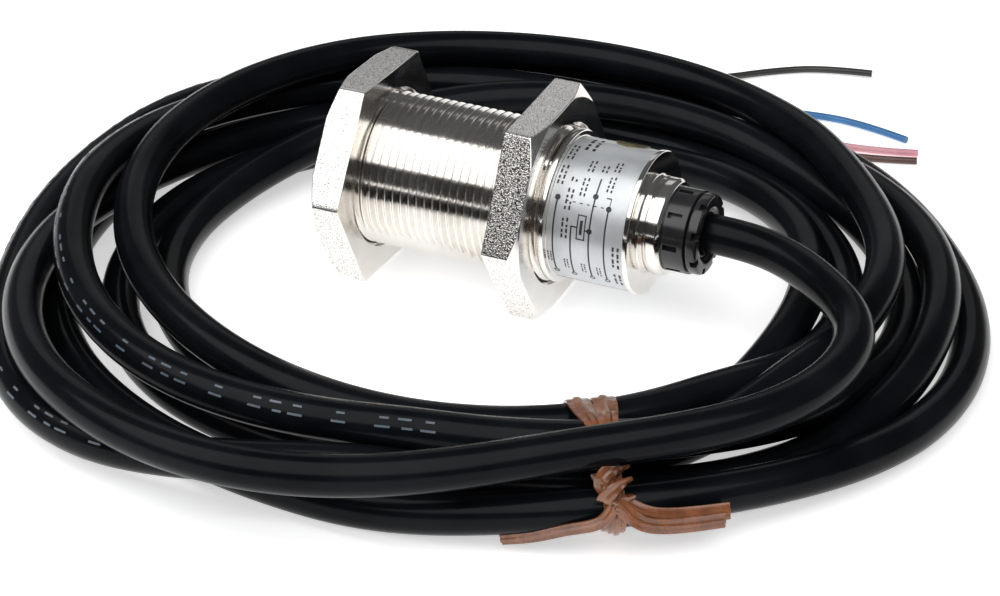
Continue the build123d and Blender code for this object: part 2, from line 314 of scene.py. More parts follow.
core_materials = {
    "core_black": core_pvc("core_black_pvc", (0.015, 0.014, 0.013), (0.03, 0.029, 0.027)),
    "core_blue": core_pvc("core_blue_pvc", (0.025, 0.13, 0.32), (0.04, 0.18, 0.42)),
    "core_pink": core_pvc("core_pink_pvc", (0.62, 0.27, 0.33), (0.76, 0.38, 0.43)),
    "core_brown": core_pvc("core_brown_pvc", (0.075, 0.035, 0.025), (0.12, 0.06, 0.045)),
}


# ---- making meshes ----
def finish_piece(obj, material, replaced, body="housing"):
    """Set a piece's material and body, and hide the CAD nodes it stands for."""
    if material:
        obj.data.materials.append(material.data)
    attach(obj, body)
    if replaced:
        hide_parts(*replaced)
    return obj


def mesh_object(name, vertices, faces, sharp_angle=32.0):
    """Object from millimetre points; doubles merged, normals outward, smooth with sharp edges kept."""
    mesh = bpy.data.meshes.new(name)
    mesh.from_pydata((np.asarray(vertices, float) * MM).tolist(), [], faces)
    shape = bmesh.new()
    shape.from_mesh(mesh)
    bmesh.ops.remove_doubles(shape, verts=shape.verts, dist=1e-7)
    bmesh.ops.dissolve_degenerate(shape, dist=1e-7, edges=shape.edges)
    bmesh.ops.recalc_face_normals(shape, faces=shape.faces)
    shape.to_mesh(mesh)
    shape.free()
    mesh.shade_smooth()
    mesh.set_sharp_from_angle(angle=radians(sharp_angle))
    obj = bpy.data.objects.new(name, mesh)
    bpy.context.collection.objects.link(obj)
    return obj


def grid_faces(rows, columns, close_rows=False, close_columns=False):
    """Quads of a grid of vertices, row after row; a closed direction joins its last line to its first."""
    faces = []
    for i in range(rows if close_rows else rows - 1):
        row = i * columns
        next_row = (i + 1) % rows * columns
        for j in range(columns if close_columns else columns - 1):
            after = (j + 1) % columns
            faces.append((row + j, row + after, next_row + after, next_row + j))
    return faces


def tube_faces(rows, columns):
    """Quads of a tube of vertices, row after row, with a face over each end."""
    ends = [tuple(range(columns)), tuple(range(columns * (rows - 1), columns * rows))]
    return grid_faces(rows, columns, close_columns=True) + ends


def rounded(outline, radius, steps=4):
    """Closed outline with each corner replaced by a short curve that starts radius away from it.
    A corner with a third number has that radius instead."""
    radii = [p[2] if len(p) > 2 else radius for p in outline]
    points = [np.array(p[:2], float) for p in outline]
    result = []
    for i, corner in enumerate(points):
        before = points[i - 1] - corner
        after = points[(i + 1) % len(points)] - corner
        reach_in = min(radii[i], 0.45 * np.linalg.norm(before))
        reach_out = min(radii[i], 0.45 * np.linalg.norm(after))
        start = corner + before / np.linalg.norm(before) * reach_in
        end = corner + after / np.linalg.norm(after) * reach_out
        for k in range(steps + 1):
            t = k / steps
            result.append((1 - t) ** 2 * start + 2 * t * (1 - t) * corner + t * t * end)
    return result


def around(x, radius, angle):
    """Point at a distance from the sensor's axis; the angle, in radians, is from +Y towards +Z."""
    return (x, radius * cos(angle), AXIS_Z + radius * sin(angle))


def revolve(name, outline, segments=ROUND):
    """Closed (x, radius) outline turned about the sensor's axis."""
    vertices = []
    for x, radius in outline:
        vertices += [around(x, radius, 2 * pi * j / segments) for j in range(segments)]
    return mesh_object(name, vertices, grid_faces(len(outline), segments, True, True))


def outward(angle_degrees):
    """Directions away from the sensor's axis at an angle and across it."""
    angle = radians(angle_degrees)
    return np.array([0, cos(angle), sin(angle)]), np.array([0, -sin(angle), cos(angle)])


def rod_along(x, angle_degrees, radius, low, high, segments=48):
    """Round cutter that stands on the sensor's axis at an angle."""
    up, side = outward(angle_degrees)
    base = np.array([x, 0, AXIS_Z])
    vertices = []
    for height in (low, high):
        for j in range(segments):
            turn = 2 * pi * j / segments
            reach = cos(turn) * np.array([1, 0, 0]) + sin(turn) * side
            vertices.append(base + up * height + radius * reach)
    return mesh_object("cutter", vertices, tube_faces(2, segments))


def block_along(x0, x1, half_width, low, high, angle_degrees):
    """Box cutter that points outward from the sensor's axis at an angle."""
    up, side = outward(angle_degrees)
    vertices = []
    for x in (x0, x1):
        for s, h in ((-1, low), (1, low), (1, high), (-1, high)):
            vertices.append(np.array([x, 0, AXIS_Z]) + side * s * half_width + up * h)
    return mesh_object("cutter", vertices, tube_faces(2, 4))


def cut(obj, cutters):
    """Take the cutters out of the object for good."""
    for cutter in cutters:
        modifier = obj.modifiers.new("cut", "BOOLEAN")
        modifier.operation = "DIFFERENCE"
        modifier.solver = "EXACT"
        modifier.object = cutter
    evaluated = obj.evaluated_get(bpy.context.evaluated_depsgraph_get())
    mesh = bpy.data.meshes.new_from_object(evaluated)
    obj.modifiers.clear()
    obj.data = mesh
    mesh.shade_smooth()
    mesh.set_sharp_from_angle(angle=radians(32))
    for cutter in cutters:
        bpy.data.objects.remove(cutter)
    return obj


# ---- threaded barrel ----
# One pitch of the thread's outline: place along it, in pitches, and depth under the crest.
THREAD_FORM = [
    (0.0, 0.05), (0.03, 0.012), (0.0625, 0.0), (0.095, 0.012), (0.125, 0.05), (0.16, 0.115), (0.42, 0.53),
    (0.47, 0.585), (0.5625, 0.61), (0.655, 0.585), (0.705, 0.53), (0.965, 0.115),
]


def make_barrel():
    """Helical V thread, then the plain shoulder and the seat under the label, closed by the bore."""
    start_radius = THREAD_RADIUS - 0.55
    end_radius = THREAD_RADIUS - 0.5
    window_radius = 8.2
    window_back_x = FRONT_X + 2.3
    cap_bore = 6.25
    cap_bore_x = 8.5
    main_bore = 7.6
    corner = 0.32
    corner_steps = 4
    plain = rounded(
        [
            (THREAD_END_X, end_radius),
            (THREAD_END_X + 0.12, SHOULDER_RADIUS),
            (LABEL_X0 - 0.02, SHOULDER_RADIUS),
            (LABEL_X0, SEAT_RADIUS),
            (LABEL_X1, SEAT_RADIUS),
            (LABEL_X1, cap_bore),
            (cap_bore_x, cap_bore),
            (cap_bore_x, main_bore),
            (window_back_x, main_bore),
            (window_back_x, window_radius),
            (FRONT_X, window_radius),
        ],
        corner,
        corner_steps,
    )
    # the thread itself ends at the first corner, so that corner's points are left out
    plain = plain[corner_steps + 1:]
    turns = int((THREAD_END_X - FRONT_X) / THREAD_PITCH) + 1
    rows = [(FRONT_X + (turn + u) * THREAD_PITCH, THREAD_RADIUS - depth, True)
            for turn in range(-1, turns) for u, depth in THREAD_FORM]
    rows += [(x, radius, False) for x, radius in plain]
    vertices = []
    for x0, radius0, helical in rows:
        for j in range(ROUND + 1):
            x, radius = x0, radius0
            if helical:
                x += THREAD_PITCH * j / ROUND
                radius = min(radius, start_radius + (x - FRONT_X))
                if x <= FRONT_X:
                    x, radius = FRONT_X, start_radius
                if x >= THREAD_END_X:
                    x, radius = THREAD_END_X, end_radius
            vertices.append(around(x, radius, 2 * pi * j / ROUND))
    faces = grid_faces(len(rows), ROUND + 1, close_rows=True)
    barrel = mesh_object("threaded_barrel", vertices, faces, sharp_angle=28)
    cut(barrel, [rod_along(INDICATOR_X, INDICATOR_ANGLE, INDICATOR_RADIUS, *INDICATOR_HOLE)])
    return finish_piece(barrel, nickel_turned, ["barrel"])


def make_end_cap():
    """Plug in the barrel, seat for the film's end, lip, grooved neck and pocket for the strain relief."""
    plug_x = LABEL_X1 - 1.0
    plug_radius = 6.2
    groove_x = NECK_X + 0.7
    groove_width = 0.3
    groove_radius = NECK_RADIUS - 0.35
    neck_chamfer = 0.4
    pocket_x = NECK_END_X - POCKET_DEPTH
    bore = 3.95
    outline = rounded(
        [
            (plug_x, plug_radius),
            (LABEL_X1, plug_radius),
            (LABEL_X1, SEAT_RADIUS, 0.05),
            (FILM_END_X, SEAT_RADIUS, 0.05),
            (FILM_END_X, LIP_RADIUS, 0.12),
            (NECK_X, LIP_RADIUS, 0.2),
            (NECK_X, NECK_RADIUS + 0.2, 0.1),
            (NECK_X + 0.12, NECK_RADIUS, 0.1),
            (groove_x, NECK_RADIUS, 0.08),
            (groove_x, groove_radius, 0.08),
            (groove_x + groove_width, groove_radius, 0.08),
            (groove_x + groove_width, NECK_RADIUS, 0.08),
            (NECK_END_X - neck_chamfer, NECK_RADIUS, 0.15),
            (NECK_END_X, NECK_RADIUS - neck_chamfer, 0.15),
            (NECK_END_X, RELIEF_RADIUS, 0.05),
            (pocket_x, RELIEF_RADIUS, 0.05),
            (pocket_x, bore, 0.05),
            (plug_x, bore, 0.05),
        ],
        0.42,
        6,
    )
    cap = revolve("turned_end_cap", outline)
    return finish_piece(cap, nickel_turned, ["end_cap"])


# ---- nuts ----
def hexagon(turn):
    """Points of the nut's outline with slightly rounded corners, as (angle, radius)."""
    corner_round = 0.3
    flat_steps = 28
    inner = (NUT_APOTHEM - corner_round) / cos(radians(30))
    arcs = []
    for i in range(6):
        angle = radians(turn + 60 * i)
        centre = inner * np.array([cos(angle), sin(angle)])
        swing = [angle + radians(a) for a in (-30, -15, 0, 15, 30)]
        arcs.append([centre + corner_round * np.array([cos(a), sin(a)]) for a in swing])
    points = []
    for i, arc in enumerate(arcs):
        start, end = arc[-1], arcs[(i + 1) % 6][0]
        points += arc
        points += [start + (end - start) * k / flat_steps for k in range(1, flat_steps)]
    return [(atan2(p[1], p[0]), hypot(p[0], p[1])) for p in points]


def make_nut(name, node, x0, turn, chamfer_first):
    """Hexagon nut: one plain face, and one whose corners are turned down by the 30 degree chamfer. The rear
    nut, with its chamfer behind, has one coarse flat, with darker painted shade in its pits."""
    edge = 0.1
    sink = 0.42
    rim = NUT_APOTHEM / cos(radians(30)) - NUT_CHAMFER_DEPTH / tan(radians(30))
    outline = hexagon(turn)

    def drop(radius):
        return max(0.0, radius - rim) * tan(radians(30))

    def station(depth):
        return x0 + depth if chamfer_first else x0 + NUT_THICKNESS - depth

    rings = []
    for angle, radius in outline:
        inset = radius - edge
        profile = [
            (sink, NUT_BORE),
            (0.0, NUT_BORE + sink),
            (0.0, min(rim, inset) * 0.5 + (NUT_BORE + sink) * 0.5),
            (0.0, min(rim, inset)),
            (drop(inset), inset),
            (drop(inset) + 0.3 * edge, radius - 0.3 * edge),
            (drop(inset) + edge, radius),
            (NUT_THICKNESS - edge, radius),
            (NUT_THICKNESS - 0.3 * edge, radius - 0.3 * edge),
            (NUT_THICKNESS, inset),
            (NUT_THICKNESS, inset * 0.5 + (NUT_BORE + sink) * 0.5),
            (NUT_THICKNESS, NUT_BORE + sink),
            (NUT_THICKNESS - sink, NUT_BORE),
        ]
        rings.append([around(station(depth), r, angle) for depth, r in profile])
    vertices = [point for ring in rings for point in ring]
    nut = mesh_object(name, vertices, grid_faces(len(rings), len(rings[0]), True, True), sharp_angle=20)
    for material in (grain_and_pit_shade_fine, nickel_faced, grain_and_pit_shade_coarse):
        nut.data.materials.append(material.data)
    for face in nut.data.polygons:
        if abs(face.normal.x) > 0.3:
            face.material_index = 1
        # the rear nut's upper front flat takes the coarse grain, whose pits carry darker painted shade
        elif not chamfer_first and face.normal.y < -0.5 and face.normal.z > 0:
            face.material_index = 2
    return finish_piece(nut, None, [node], body=node)


# ---- label ----
def make_label():
    """The film, with a hole over the indicator."""
    outline = rounded(
        [
            (LABEL_X0 + 0.05, SEAT_RADIUS),
            (LABEL_X0 + 0.05, FILM_RADIUS),
            (FILM_END_X - 0.05, FILM_RADIUS),
            (FILM_END_X - 0.05, SEAT_RADIUS),
        ],
        0.04,
        2,
    )
    film = revolve("label_wrap", outline, 192)
    cut(film, [rod_along(INDICATOR_X, INDICATOR_ANGLE, INDICATOR_RADIUS, *INDICATOR_HOLE)])
    return finish_piece(film, label_film, ["label"])


class Print:
    """Ink on the label: thin closed patches on the film. Angles are in degrees from +Y towards +Z."""

    def __init__(self):
        self.vertices = []
        self.faces = []

    def strip(self, pairs, closed=False):
        """Thin solid that follows the film through pairs of (x, angle) points; closed joins its ends."""
        low = FILM_RADIUS - 0.02
        high = FILM_RADIUS + 0.018
        first = len(self.vertices)
        for a, b in pairs:
            for (x, angle), radius in ((a, low), (b, low), (b, high), (a, high)):
                self.vertices.append(around(x, radius, radians(angle)))
        faces = grid_faces(len(pairs), 4, True, True) if closed else tube_faces(len(pairs), 4)
        self.faces += [tuple(first + i for i in face) for face in faces]

    def bar(self, x0, x1, angle0, angle1):
        """Rectangle between two places along the sensor and two angles."""
        steps = max(1, int(abs(angle1 - angle0) / 2.5))
        angles = [angle0 + (angle1 - angle0) * k / steps for k in range(steps + 1)]
        self.strip([((x0, angle), (x1, angle)) for angle in angles])

    def ring(self, x, angle, inner, outer, steps=20):
        """Ring or disc; radii in millimetres along the film."""
        to_degrees = degrees(1 / FILM_RADIUS)
        pairs = []
        for k in range(steps):
            turn = 2 * pi * k / steps
            pairs.append([(x + r * cos(turn), angle + r * sin(turn) * to_degrees) for r in (inner, outer)])
        self.strip(pairs, closed=True)

    def words(self, x, angle0, angle1, height, blocks):
        """Stand-in for a line of small print: pairs of short level strokes that form no letters."""
        upper_lengths = (0.72, 0.55, 0.78, 0.5)
        lower_lengths = (0.6, 0.76, 0.45, 0.7)
        step = (angle1 - angle0) / blocks
        stroke = 0.3 * height
        for k in range(blocks):
            if k % 5 == 4:
                continue
            start = angle0 + step * k
            upper = upper_lengths[k % 4]
            lower = lower_lengths[k % 4]
            self.bar(x - height / 2, x - height / 2 + stroke, start, start + step * upper)
            self.bar(x + height / 2 - stroke, x + height / 2, start, start + step * lower)


def make_print():
    """Wiring picture without words: four wires with terminals, joints, a load, and switched outputs."""
    ink = Print()
    line = 0.09               # half the width of a wire's line
    dot = 0.33
    terminal_angle = 215.0
    lines = {6.2: 145.5, 8.35: 165.9, 10.55: 124.0, 12.4: 147.0}
    for x, top in lines.items():
        ink.bar(x - line, x + line, top, terminal_angle - 2.5)
        ink.ring(x, terminal_angle, 0.2, 0.34)
    for x, angle in ((6.2, 145.5), (10.55, 139.3), (10.55, 167.4), (12.4, 147.0)):
        ink.ring(x, angle, 0.02, dot)
    # load symbol: a box joined to the second and third lines
    box_x0, box_x1, box_top, box_low = 9.0, 10.05, 155.4, 176.0
    for bar in ((box_x0, box_x0 + 0.14, box_top, box_low), (box_x1 - 0.14, box_x1, box_top, box_low),
                (box_x0, box_x1, box_top, box_top + 1.0), (box_x0, box_x1, box_low - 1.0, box_low),
                (box_x0 + 0.36, box_x1 - 0.36, box_top + 4.5, box_low - 4.5),
                (8.27, box_x0, 165.4, 166.6), (box_x1, 10.6, 166.8, 168.0)):
        ink.bar(*bar)
    # switched outputs: a hook and a dashed line along the sensor
    ink.bar(12.4, 12.49, 138.8, 147.0)
    ink.bar(11.86, 12.45, 138.2, 139.2)
    for k in range(6):
        ink.bar(7.2 + 0.85 * k, 7.55 + 0.85 * k, 146.4, 147.2)
    # stand-ins for the words: place, first and last angle, height and number of strokes
    for row in ((6.0, 135.0, 93.0, 0.75, 9), (7.55, 177.0, 126.0, 0.75, 11), (8.95, 141.0, 107.0, 0.7, 8),
                (10.55, 118.0, 110.0, 0.7, 2), (11.9, 134.0, 104.0, 0.7, 8), (7.6, 98.0, 62.0, 1.25, 6)):
        ink.words(*row)
    for x, start in ((5.75, 192.0), (7.7, 197.0), (9.75, 198.5), (11.6, 199.5)):
        ink.words(x, start, start + 14.0, 0.5, 5)
    ink.words(13.8, 176.0, 219.0, 0.85, 8)
    # seam where the film's ends meet
    ink.bar(LABEL_X0 + 0.1, FILM_END_X - 0.1, 232.6, 233.1)
    marks = mesh_object("label_print", ink.vertices, ink.faces)
    return finish_piece(marks, label_ink, None)


# ---- strain relief ----
def make_strain_relief():
    """Sleeve in the neck, with slots round its outside."""
    start = NECK_END_X - POCKET_DEPTH
    hole = CABLE_RADIUS + 0.05
    radius = RELIEF_RADIUS - 0.01
    end = RELIEF_CAP_X - 0.05
    outline = [(start, hole), (start, radius), (end, radius), (end, hole)]
    relief = revolve("strain_relief_sleeve", rounded(outline, 0.16, 3))
    slots = 8
    slot_x0 = NECK_END_X + 0.25
    slot_x1 = NECK_END_X + 1.95
    slot_half_width = 0.35
    slot_floor = RELIEF_RADIUS - 0.7
    cut(relief, [block_along(slot_x0, slot_x1, slot_half_width, slot_floor, RELIEF_RADIUS + 1,
                             90 + 360 * i / slots) for i in range(slots)])
    return finish_piece(relief, black_plastic, ["strain_relief"])


def make_strain_relief_cap():
    """Ring over the sleeve's end, notched round its edge."""
    hole = CABLE_RADIUS + 0.05
    outline = [
        (RELIEF_CAP_X, hole),
        (RELIEF_CAP_X, RELIEF_CAP_RADIUS),
        (SENSOR_END_X, RELIEF_CAP_RADIUS),
        (SENSOR_END_X, CABLE_RADIUS + 0.9),
        (SENSOR_END_X - 0.5, CABLE_RADIUS + 0.5),
        (SENSOR_END_X - 0.5, hole),
    ]
    cap = revolve("strain_relief_ring", rounded(outline, 0.38, 4))
    notches = 8
    notch_x = SENSOR_END_X - 0.7
    notch_half_width = 0.45
    notch_floor = RELIEF_CAP_RADIUS - 0.8
    cut(cap, [block_along(notch_x, SENSOR_END_X + 1, notch_half_width, notch_floor, RELIEF_CAP_RADIUS + 1,
                          90 + 360 * (i + 0.5) / notches) for i in range(notches)])
    return finish_piece(cap, black_plastic, ["strain_relief_cap"])


# ---- cable ----
# Turns of the coil from the sensor outward: distance from the coil's middle and height of the cable's
# centre every 30 degrees, clockwise from +X.
FLOOR = CABLE_RADIUS
COIL_TURNS = [
    ([37, 50, 51.5, 58.5, 61, 57, 51, 46.5, 41, 37, 36, 36.5],
     [12, 11, 10.3, 8, 6.3, 5, 3, FLOOR, FLOOR, FLOOR, FLOOR, FLOOR]),
    ([38, 39.8, 42.3, 42, 43, 45.6, 48, 48.5, 47.5, 44.5, 40, 39],
     [FLOOR, 4.5, 6.3, 6.4, 7.2, 8.3, 9, 8, 6.8, 6.3, 6.8, 8]),
    ([42, 43, 44, 44.5, 47, 47, 44, 39, 34.5, 31.5, 31.5, 33],
     [9, 6, FLOOR, FLOOR, FLOOR, FLOOR, FLOOR, FLOOR, FLOOR, 2.5, 4, 5]),
    ([34.5, 37, 39.5, 39.5, 40.5, 42, 41, 38.5, 37, 37, 39.5, 42.5],
     [5, FLOOR, FLOOR, FLOOR, FLOOR, FLOOR, FLOOR, 4, 5.5, 5.5, 4, FLOOR]),
    ([44, 44, 45.8, 48, 51.5, 53, 52.5, 50, 45.5, 42, 42, 44.5],
     [FLOOR, 4.5, 6.3, 6.5, 6.5, 7, 7, 6, 4.5, 3, 3.5, 5]),
    ([46.5, 47, 47, 51.8, 62, 58.8, 55.5, 52.5, 49, 46.5, 46, 47],
     [5.5, 3, 3.2, 5.6, 4.2, 2.5, FLOOR, FLOOR, FLOOR, FLOOR, FLOOR, FLOOR]),
    ([51, 51.2, 50.6, 50, 52.5, 54, 53, 56, 54, 52],
     [FLOOR, 4.4, 6.4, 4.6, 2.6] + [FLOOR] * 5),
]
STATION = 30.0            # degrees between the stations above
COIL_START = 14.0         # degrees at which the lead joins the first turn
COIL_END = 6 * 360 + 261.0
LEAD = [(13.0, 0, AXIS_Z), (17.0, 0, AXIS_Z), (21.9, 0, AXIS_Z), (25.5, 0, AXIS_Z), (29.5, -0.8, 12.3),
        (33.5, -2.8, 12.2), (37.0, -5.8, 12.0)]
POINT_SPACING = 3.0


def cubic_spline(values, at):
    """Natural cubic spline through values at 0, 1, 2 and so on."""
    values = np.asarray(values, float)
    count = len(values)
    system = np.eye(count) * 4
    system[0, 0] = system[-1, -1] = 1
    bend = np.zeros(count)
    for i in range(1, count - 1):
        system[i, i - 1] = system[i, i + 1] = 1
        bend[i] = 6 * (values[i + 1] - 2 * values[i] + values[i - 1])
    second = np.linalg.solve(system, bend)
    i = np.clip(np.floor(at).astype(int), 0, count - 2)
    u = at - i
    v = 1 - u
    curve = ((v**3 - v) * second[i] + (u**3 - u) * second[i + 1]) / 6
    return v * values[i] + u * values[i + 1] + curve


def distances_along(points):
    """How far along the line each of its points is."""
    return np.concatenate([[0], np.cumsum(np.linalg.norm(np.diff(points, axis=0), axis=1))])


def places_along(points, wanted):
    """Points of the line at the wanted distances along it."""
    along = distances_along(points)
    return np.column_stack([np.interp(wanted, along, column) for column in points.T])


def evenly(points, spacing):
    """The same line with points a fixed distance apart."""
    length = distances_along(points)[-1]
    return places_along(points, np.linspace(0, length, int(round(length / spacing)) + 1))


def coil_route():
    """The lead and then the turns, as the tables give them, before the strands are kept apart."""
    radii = [r for turn_radii, _ in COIL_TURNS for r in turn_radii]
    heights = [h for _, turn_heights in COIL_TURNS for h in turn_heights]
    at = np.linspace(0, len(radii) - 1, 2600)
    at = at[(at * STATION > COIL_START) & (at * STATION <= COIL_END)]
    angle = np.radians(at * STATION)
    radius = cubic_spline(radii, at)
    height = np.maximum(cubic_spline(heights, at), CABLE_RADIUS)
    turns = np.column_stack([radius * np.cos(angle), -radius * np.sin(angle), height])
    points = evenly(evenly(np.vstack([LEAD, turns]), POINT_SPACING), POINT_SPACING)
    for _ in range(30):
        curl = points[:-4] - 4 * points[1:-3] + 6 * points[2:-2] - 4 * points[3:-1] + points[4:]
        points[2:-2] -= 0.5 * curl / 16
    return points


def floor_under(points):
    """Lowest height of the cable's centre: it rises over the twist tie."""
    rise = 0.45
    rise_length = 6.0
    angle = radians(TIE_ANGLE)
    across = points[:, 0] * sin(angle) + points[:, 1] * cos(angle)
    ahead = points[:, 0] * cos(angle) - points[:, 1] * sin(angle) > 0
    return CABLE_RADIUS + rise * np.exp(-((across / rise_length) ** 2)) * ahead


def keep_apart(home, rounds=400):
    """Moves strands that lie in each other until they touch; the moves are spread along the cable."""
    count = len(home)
    moved = np.zeros_like(home)
    free = np.clip((np.arange(count) - 6) / 6, 0, 1)[:, None]
    apart = CABLE_DIAMETER + 0.02
    for step in range(rounds):
        settling = step >= rounds * 0.9
        if step < rounds * 0.85:
            moved *= 0.99
        for _ in range(1 if settling else 6):
            moved[1:-1] += 0.25 * (moved[:-2] - 2 * moved[1:-1] + moved[2:])
        points = home + moved
        if step % 10 == 0:
            distance = np.linalg.norm(points[:, None] - points[None], axis=2)
            near_a, near_b = np.nonzero(np.triu(distance < CABLE_DIAMETER + 2.5, 7))
        gap = points[near_a] - points[near_b]
        distance = np.linalg.norm(gap, axis=1)
        close = distance < apart
        a, b = near_a[close], near_b[close]
        push = gap[close] * ((apart - distance[close]) / np.maximum(distance[close], 1e-6) * 0.5)[:, None]
        hits = np.zeros(count)
        total = np.zeros_like(points)
        np.add.at(hits, a, 1)
        np.add.at(hits, b, 1)
        np.add.at(total, a, push)
        np.add.at(total, b, -push)
        moved += 1.3 * total / np.sqrt(np.maximum(hits, 1))[:, None] * free
        points = home + moved
        moved[:, 2] += np.maximum(floor_under(points) - points[:, 2], 0)
    points = home + moved
    points[:, 2] = np.maximum(points[:, 2], CABLE_RADIUS)
    return points


def cord_curve(name, points, diameter, material):
    """One open NURBS spline with a round section; points in millimetres."""
    curve = bpy.data.curves.new(name, "CURVE")
    curve.dimensions = "3D"
    curve.bevel_depth = diameter / 2 * MM
    curve.bevel_resolution = 7
    curve.resolution_u = 4
    curve.use_fill_caps = True
    spline = curve.splines.new("NURBS")
    spline.points.add(len(points) - 1)
    for point, place in zip(spline.points, points):
        point.co = (*(float(c) * MM for c in place), 1)
    spline.order_u = 3
    spline.use_endpoint_u = True
    curve.materials.append(material.data)
    obj = bpy.data.objects.new(name, curve)
    bpy.context.collection.objects.link(obj)
    return obj


cable_line = keep_apart(coil_route())
cable = cord_curve("cable", cable_line, CABLE_DIAMETER, cable_jacket)
finish_piece(cable, None, ["cable_lead", "cable_coil", "cable_tail"])

CORE_ROUTES = {
    "core_black": [(-8.0, 52.8, 3.05), (-4.4, 54.8, 2.2), (0.0, 60.4, 0.8),
                   (5.6, 66.2, 0.5), (11.4, 69.6, 0.6), (17.9, 70.5, 0.7)],
    "core_blue": [(-8.0, 52.8, 1.45), (-1.4, 53.6, 1.3), (5.4, 53.6, 0.7),
                  (13.4, 55.8, 0.55), (21.0, 56.2, 0.6), (28.0, 54.2, 0.5)],
    "core_pink": [(-8.0, 51.2, 3.05), (-1.0, 52.0, 2.6), (6.5, 51.6, 1.7),
                  (14.6, 49.4, 0.8), (22.8, 48.6, 0.6), (30.5, 51.3, 0.5)],
    "core_brown": [(-8.0, 51.2, 1.45), (-0.6, 51.3, 1.1), (7.4, 49.7, 0.6),
                   (15.8, 47.4, 0.5), (23.6, 46.4, 0.55), (31.0, 49.2, 0.5)],
}
# metres
for core_name, route in CORE_ROUTES.items():
    core = cord_curve(f"{core_name}_wire", route, CORE_DIAMETER, core_materials[core_name])
    core.data.resolution_u = 12
    finish_piece(core, None, [core_name])


# Stretches of the cable, as distances from its start, that show print, and where round the jacket it is:
# degrees from level outward, towards up.
PRINTED_STRETCHES = [(1152.0, 1262.0), (1452.0, 1600.0)]
PRINT_TURN = 42.0
PRINT_PITCH = 2.3
UPPER_STROKES = (0.9, 1.4, 1.0, 1.3)
LOWER_STROKES = (1.5, 1.1, 1.6, 1.0)
STROKE_WIDTH = 6.0        # degrees round the jacket


def make_cable_print():
    """Faded print on two stretches of the jacket: pairs of strokes, as long as small type but no letters."""
    vertices = []
    faces = []
    low = CABLE_RADIUS - 0.05
    high = CABLE_RADIUS + 0.012

    def stroke(start, length, turn):
        """Thin closed patch on the jacket; turn is in degrees round it."""
        first = len(vertices)
        near = radians(turn)
        far = radians(turn + STROKE_WIDTH)
        places = np.linspace(start, start + length, 4)
        centres = places_along(cable_line, places)
        aheads = places_along(cable_line, places + 2.0) - places_along(cable_line, places - 2.0)
        for centre, ahead in zip(centres, aheads):
            ahead /= np.linalg.norm(ahead)
            up = np.array([0, 0, 1.0]) - ahead * ahead[2]
            up /= np.linalg.norm(up)
            facing = np.cross(up, ahead)
            facing *= np.sign(facing @ np.array([centre[0], centre[1], 0]))
            for angle, radius in ((near, low), (near, high), (far, high), (far, low)):
                vertices.append(centre + radius * (cos(angle) * facing + sin(angle) * up))
        faces.extend(tuple(first + i for i in face) for face in tube_faces(len(places), 4))

    for start, end in PRINTED_STRETCHES:
        for k in range(int((end - start) / PRINT_PITCH)):
            if k % 6 in (3, 5):
                continue
            place = start + k * PRINT_PITCH
            stroke(place, LOWER_STROKES[k % 4], PRINT_TURN - 14)
            stroke(place + 0.2, UPPER_STROKES[k % 4], PRINT_TURN + 10)
    marks = mesh_object("cable_print_dashes", vertices, faces)
    return finish_piece(marks, cable_print, None)


# ---- twist tie ----
TIE_WIDTH = 2.5
TIE_THICKNESS = 0.34
TIE_WIRE = 0.78


def ribbon(name, points, sides, width=TIE_WIDTH):
    """Flat ribbon with a wire along its middle. sides gives the direction of the ribbon's width at each
    point, and width is one number or one for each point."""
    widths = np.broadcast_to(width, len(points))
    half = TIE_WIDTH / 2
    flat = TIE_THICKNESS / 2
    wire = TIE_WIRE / 2
    quarter = [(half, flat * 0.6), (half * 0.9, flat), (wire * 1.3, flat), (wire * 0.6, wire)]
    upper = [(-s, n) for s, n in quarter] + quarter[::-1]
    section = upper + [(s, -n) for s, n in reversed(upper)]
    vertices = []
    for i, point in enumerate(points):
        ahead = points[min(i + 1, len(points) - 1)] - points[max(i - 1, 0)]
        ahead = ahead / np.linalg.norm(ahead)
        side = sides[i] - ahead * (sides[i] @ ahead)
        side = side / np.linalg.norm(side)
        normal = np.cross(ahead, side)
        vertices += [point + side * s * widths[i] / TIE_WIDTH + normal * n for s, n in section]
    return mesh_object(name, vertices, tube_faces(len(points), len(section)), sharp_angle=40)


def smooth_line(knots, samples):
    """Smooth line through a few points, with samples points."""
    knots = np.asarray(knots, float)
    at = np.linspace(0, len(knots) - 1, samples)
    return np.column_stack([cubic_spline(column, at) for column in knots.T])


def convex_hull(points):
    points = sorted(map(tuple, points))

    def half(ordered):
        chain = []
        for p in ordered:
            while len(chain) > 1:
                (ax, ay), (bx, by) = chain[-2:]
                if (bx - ax) * (p[1] - ay) - (by - ay) * (p[0] - ax) > 0:
                    break
                chain.pop()
            chain.append(p)
        return chain[:-1]

    return np.array(half(points) + half(points[::-1]))


tie_out = np.array([cos(radians(TIE_ANGLE)), -sin(radians(TIE_ANGLE)), 0])
tie_across = np.array([sin(radians(TIE_ANGLE)), cos(radians(TIE_ANGLE)), 0])


def strands_at_tie():
    """(distance out, height, place along the cable) of each strand that crosses the tie's plane."""
    across = cable_line @ tie_across
    out = cable_line @ tie_out
    found = []
    for i in range(len(cable_line) - 1):
        if across[i] * across[i + 1] <= 0 and out[i] > 15:
            found.append((out[i], cable_line[i, 2], i))
    return found


